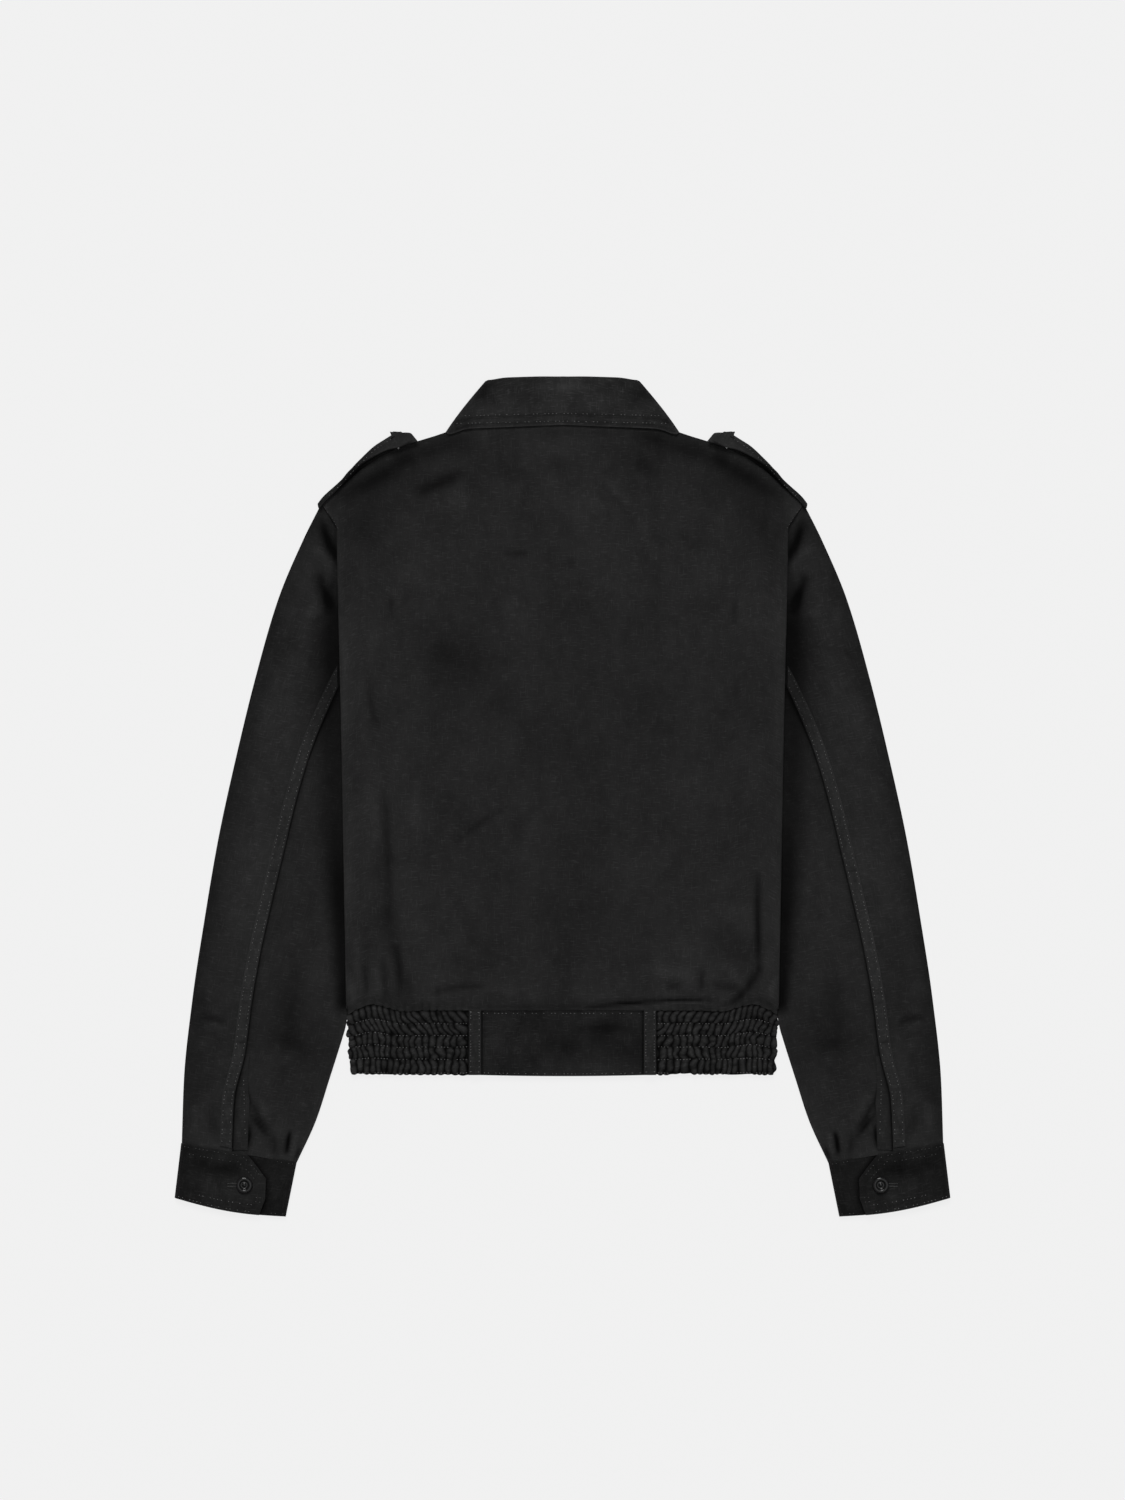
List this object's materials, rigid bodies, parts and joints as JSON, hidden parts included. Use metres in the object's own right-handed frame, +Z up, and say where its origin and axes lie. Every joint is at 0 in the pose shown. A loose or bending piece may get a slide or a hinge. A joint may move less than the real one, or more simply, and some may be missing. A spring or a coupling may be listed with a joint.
{
  "type": "officer jacket",
  "caption": "Cropped black cotton officer jacket laid flat, back up, with a folded collar, shoulder straps, buttoned cuffs and a shirred waistband.",
  "frame": {"origin": "middle of the underside, which lies on the surface at z = 0", "axes": "+X to the wearer's right sleeve, +Y from the hem to the collar, +Z up, out of the jacket's back"},
  "size_m": [0.7364, 0.7971, 0.01],
  "materials": {
    "black_cotton": "matte washed slubby cotton",
    "black_button": "polished"
  },
  "bodies": {
    "root": {"back": "black_cotton", "front_left": "black_cotton", "front_right": "black_cotton", "top_sleeve_left": "black_cotton", "top_sleeve_right": "black_cotton", "under_sleeve_left": "black_cotton", "under_sleeve_right": "black_cotton", "sleeve_seam_left": "black_cotton", "sleeve_seam_right": "black_cotton", "vent_placket_left": "black_cotton", "vent_placket_right": "black_cotton", "cuff_left": "black_cotton", "cuff_right": "black_cotton", "cuff_button_left": "black_button", "cuff_button_right": "black_button", "collar_stand": "black_cotton", "collar_fall": "black_cotton", "epaulette_left": "black_cotton", "epaulette_right": "black_cotton", "waistband_back": "black_cotton", "waistband_side_left": "black_cotton", "waistband_side_right": "black_cotton", "waistband_front_left": "black_cotton", "waistband_front_right": "black_cotton", "band_strip_left": "black_cotton", "band_strip_right": "black_cotton"}
  },
  "joints": []
}
